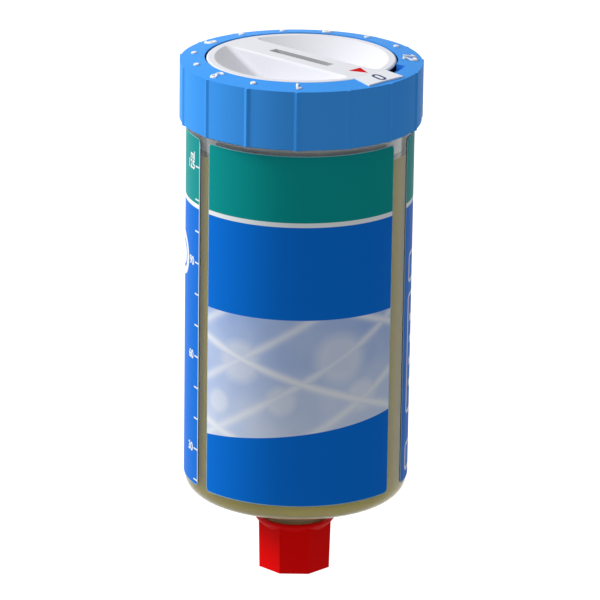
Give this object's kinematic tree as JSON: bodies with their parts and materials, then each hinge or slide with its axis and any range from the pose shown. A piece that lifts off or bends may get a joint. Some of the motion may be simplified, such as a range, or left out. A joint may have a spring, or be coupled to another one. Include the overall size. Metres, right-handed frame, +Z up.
{
  "type": "automatic lubricator",
  "caption": "Gas-driven automatic grease lubricator: clear container with a sliding piston, blue snap ring, white month dial and capped threaded outlet.",
  "frame": {"origin": "on the axis at the gauge plane of the R 1/4 outlet thread, 6.0 mm above the outlet's end", "axes": "+Z up along the axis from the outlet to the dial, -Y towards the front label, +X to the right seen from the front"},
  "size_m": [0.0525, 0.0525, 0.116],
  "materials": {
    "clear_plastic": "clear, slightly hazy",
    "grease": "soft amber grease",
    "grey_plastic": "satin",
    "black_rubber": "matt",
    "label_film": "printed gloss film",
    "housing_plastic": "satin",
    "cell_steel": "bright",
    "contact_metal": "nickel plated",
    "board": "satin",
    "resistor": "matt",
    "dial_white": "smooth satin",
    "ring_blue": "satin",
    "tab_white": "satin",
    "cap_red": "gloss"
  },
  "bodies": {
    "lubricator": {"container": "clear_plastic", "grease": "grease", "housing_seal": "black_rubber", "label_front": "label_film", "label_scale": "label_film", "label_icons": "label_film", "cell_housing": "housing_plastic", "gas_cell": "cell_steel", "battery_left": "cell_steel", "battery_right": "cell_steel", "gas_cell_seal": "black_rubber", "battery_strip": "contact_metal", "gas_cell_contact": "contact_metal", "battery_left_contact": "contact_metal", "battery_right_contact": "contact_metal", "circuit_board": "board", "timing_resistors": "resistor", "top_ring": "ring_blue", "zero_tab": "tab_white"},
    "setting_dial": {"dial": "dial_white", "dial_seal": "black_rubber", "board_wiper": "contact_metal"},
    "driven_piston": {"piston": "grey_plastic", "grease_wiper": "black_rubber", "piston_seal": "black_rubber"},
    "cap": {"outlet_cap": "cap_red"}
  },
  "joints": [
    {"name": "dial_turn", "type": "hinge", "parent": "lubricator", "child": "setting_dial", "pos_m": [0, 0, 0.10835], "axis": [0, 0, -1], "range_deg": [0, 312]},
    {"name": "piston_slide", "type": "slide", "parent": "lubricator", "child": "driven_piston", "axis": [0, 0, -1], "range_m": [0, 0.0755], "deforming": ["grease"]},
    {"name": "cap_pull", "type": "slide", "parent": "lubricator", "child": "cap", "axis": [0, 0, -1], "range_m": [0, 0.03]}
  ]
}
